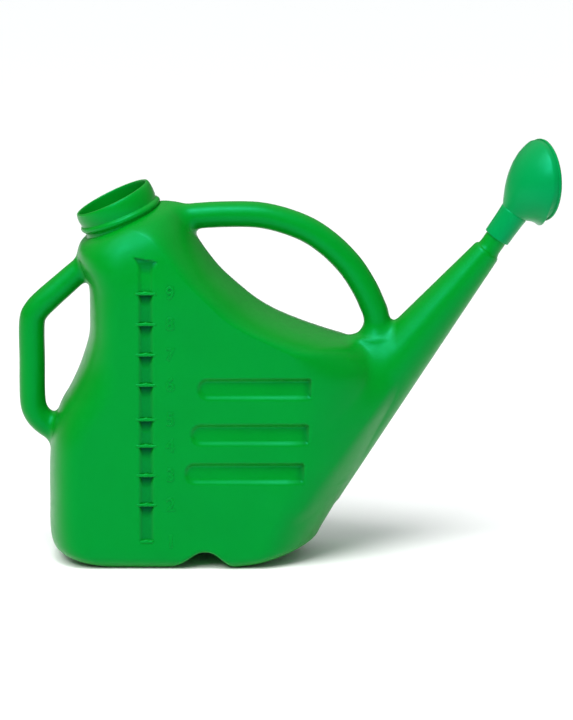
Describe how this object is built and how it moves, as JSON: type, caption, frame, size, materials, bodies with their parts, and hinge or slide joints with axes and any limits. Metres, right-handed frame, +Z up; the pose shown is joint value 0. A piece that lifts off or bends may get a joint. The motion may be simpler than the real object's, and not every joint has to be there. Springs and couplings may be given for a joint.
{
  "type": "watering can",
  "caption": "Blow-moulded plastic watering can with a tilted filling neck, rear and top tubular handles, a graduated tank, and a long conical spout with a push-on round rose.",
  "frame": {"origin": "centre of the bounding box at the level of the base, on the surface the can stands on", "axes": "+X towards the spout and rose, +Y to the left of someone looking along the spout, +Z up"},
  "size_m": [0.5398, 0.14, 0.4241],
  "materials": {
    "can_hdpe": "satin-gloss blow-moulded high-density polyethylene, saturated grass green",
    "rose_plastic": "satin injection-moulded plastic, slightly bluer green"
  },
  "bodies": {
    "can": {"tank_base": "can_hdpe", "tank_body": "can_hdpe", "tank_shoulder": "can_hdpe", "spout_root": "can_hdpe", "spout": "can_hdpe", "neck": "can_hdpe", "rear_handle": "can_hdpe", "carry_handle": "can_hdpe"},
    "rose_socket": {"rose_socket": "rose_plastic"},
    "rose_head": {"rose_head": "rose_plastic"},
    "rose_face": {"rose_face": "rose_plastic"}
  },
  "joints": [
    {"name": "rose_slide", "type": "slide", "parent": "can", "child": "rose_socket", "axis": [0.5664, 0, 0.8241], "range_m": [0, 0.045]},
    {"name": "rose_turn", "type": "hinge", "parent": "rose_socket", "child": "rose_head", "pos_m": [0.21579, 0, 0.33742], "axis": [0.5664, 0, 0.8241], "continuous": true},
    {"name": "face_unclip", "type": "slide", "parent": "rose_head", "child": "rose_face", "axis": [0.906, 0.4228, -0.0201], "range_m": [0, 0.02]}
  ]
}
